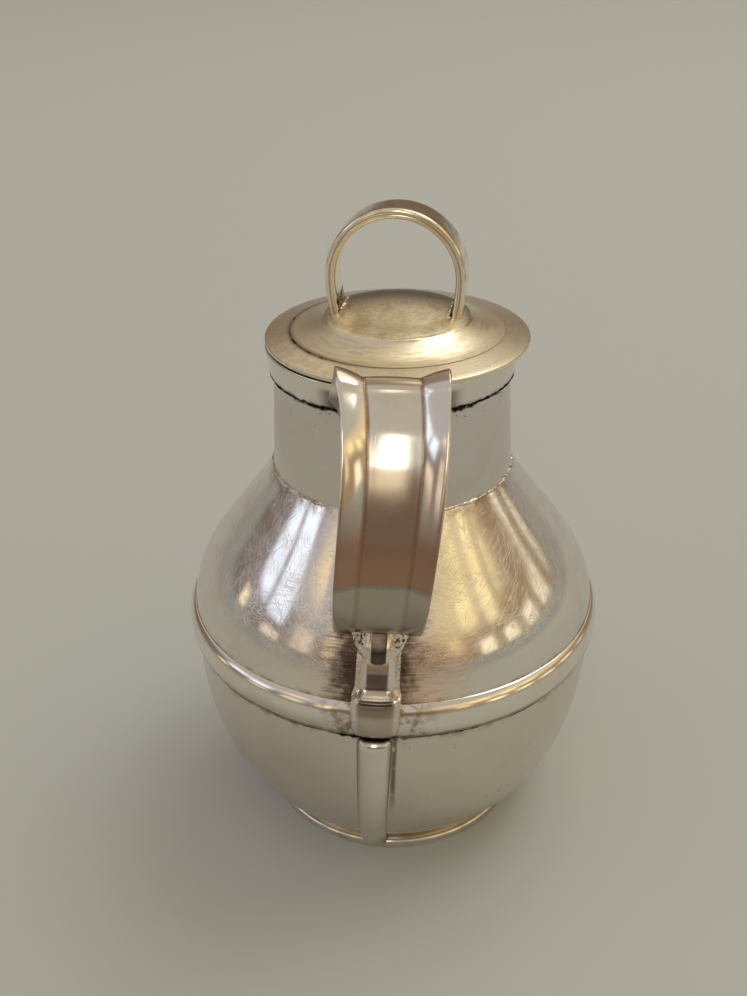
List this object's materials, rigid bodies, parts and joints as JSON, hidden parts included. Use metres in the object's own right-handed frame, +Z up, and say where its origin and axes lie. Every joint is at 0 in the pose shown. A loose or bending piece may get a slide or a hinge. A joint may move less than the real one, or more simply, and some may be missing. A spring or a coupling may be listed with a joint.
{
  "type": "cream jug",
  "caption": "Small lidded silver cream jug of milk-can form: round belly with a moulding, plain neck, channelled strap handle and a lift-off lid with a loop.",
  "frame": {"origin": "middle of the footprint box, on the surface that the jug stands on; the jug's own axis is at y = +2.1 mm", "axes": "+Z up along the jug's axis, -Y towards the handle, +X to the right as seen from the handle's side"},
  "size_m": [0.0574, 0.0616, 0.0876],
  "materials": {
    "polished_silver": "polished, with fine swirl scratches and faint brown tarnish",
    "brushed_silver": "satin, with fine turning lines and brown tarnish in the seams",
    "bright_silver": "bright, softly worn edges",
    "tarnished_silver": "worn bright on top, dark pitted solder at the edges"
  },
  "bodies": {
    "jug": {"foot_ring": "bright_silver", "lower_bowl": "polished_silver", "shoulder": "polished_silver", "belly_band": "bright_silver", "neck_tube": "brushed_silver", "rim_collar": "brushed_silver", "handle": "bright_silver", "handle_tab": "tarnished_silver", "band_bridge": "tarnished_silver", "back_strap": "tarnished_silver"},
    "lid": {"lid_bezel": "brushed_silver", "lid_plate": "brushed_silver", "lid_centre": "brushed_silver", "lid_loop": "bright_silver"}
  },
  "joints": [
    {"name": "lid_lift", "type": "slide", "parent": "jug", "child": "lid", "axis": [0, 0, 1], "range_m": [0, 0.02]}
  ]
}
